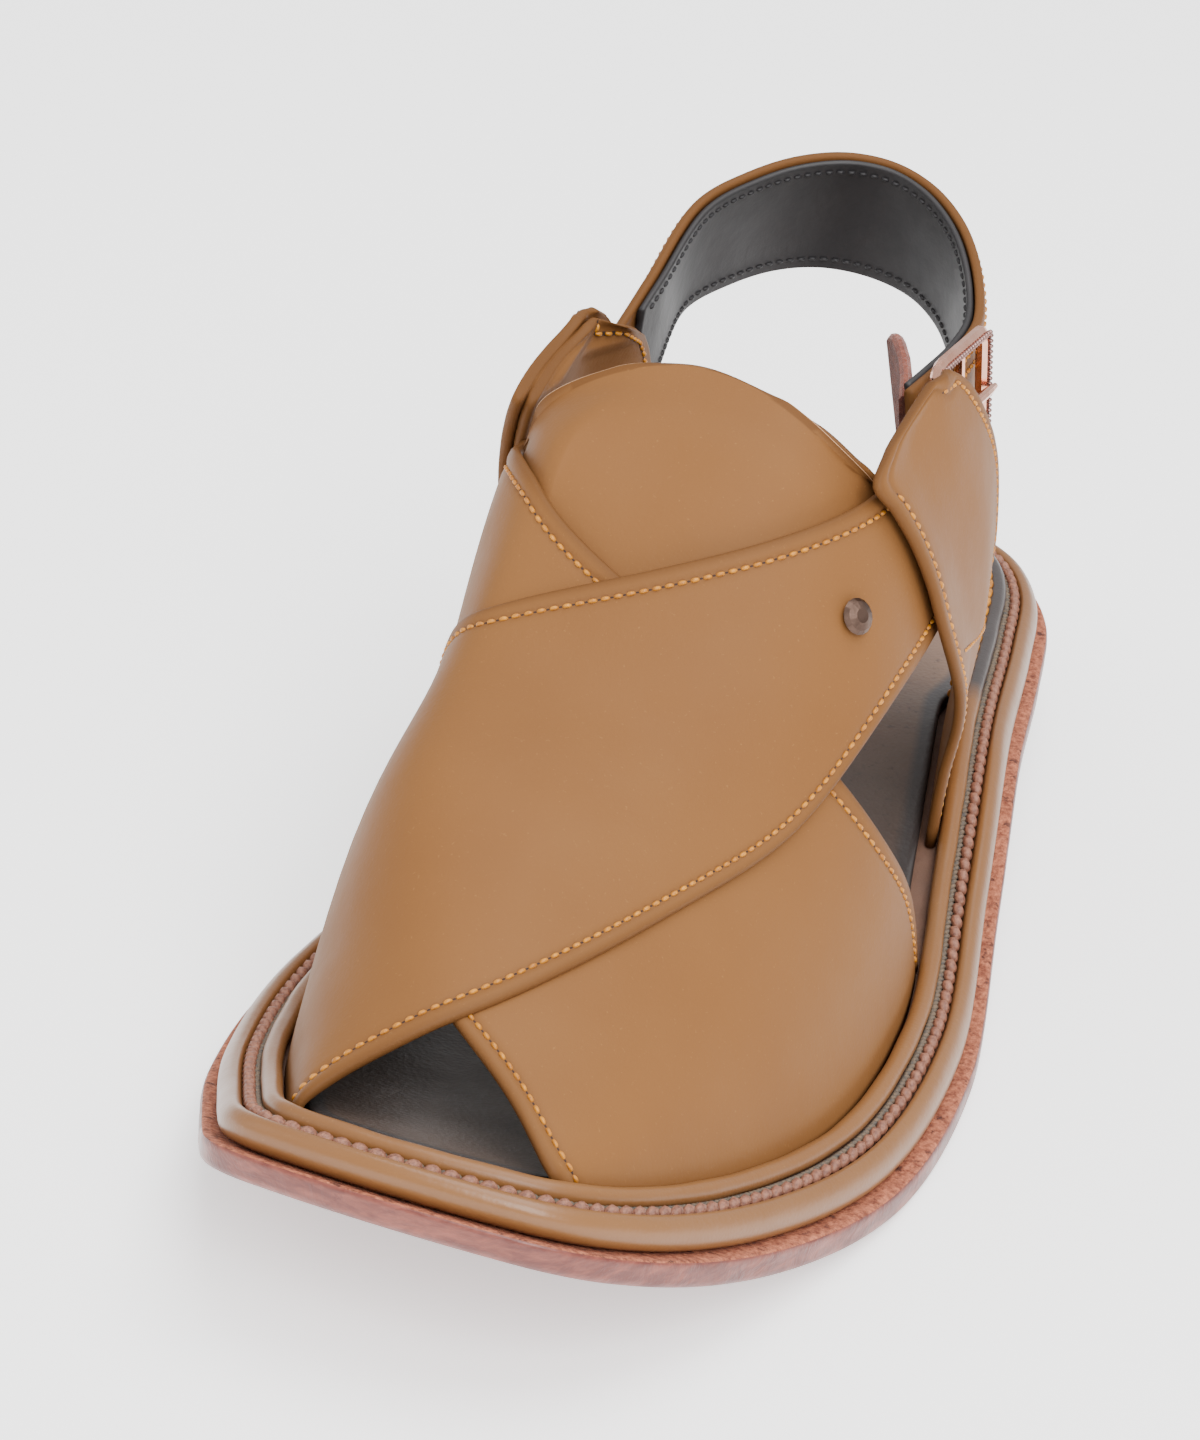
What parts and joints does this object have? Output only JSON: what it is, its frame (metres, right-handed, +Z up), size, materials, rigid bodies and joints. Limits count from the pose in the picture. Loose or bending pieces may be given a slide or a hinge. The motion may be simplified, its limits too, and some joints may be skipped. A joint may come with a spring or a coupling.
{
  "type": "peshawari chappal",
  "caption": "Left leather sandal with crossed straps, side panels, open blunt toe, buckled back strap and a corded welt on a low heel.",
  "frame": {"origin": "centre of the whole shoe's box, on the ground", "axes": "+X to the wearer's left, the outer side; -Y at the toe; +Z up"},
  "size_m": [0.1194, 0.2948, 0.1115],
  "materials": {
    "outsole_leather": "smooth waxed edge",
    "heel_stack": "smooth waxed edge",
    "band_leather": "smooth with a soft sheen",
    "braided_cord": "braided",
    "insole_leather": "smooth",
    "tan_leather": "smooth, low sheen",
    "lining_leather": "smooth",
    "copper_metal": "polished copper tone",
    "suede": "napped suede",
    "bronze_metal": "dark bronze tone"
  },
  "bodies": {
    "root": {"outsole": "outsole_leather", "heel_block": "heel_stack", "midsole": "band_leather", "welt_cord": "braided_cord", "rand_piping": "band_leather", "insole": "insole_leather", "upper": "tan_leather", "tongue": "tan_leather", "heel_strap": "tan_leather", "heel_strap_lining": "lining_leather", "buckle_frame": "copper_metal", "buckle_pin": "copper_metal", "buckle_pad": "suede", "stud": "bronze_metal"}
  },
  "joints": []
}
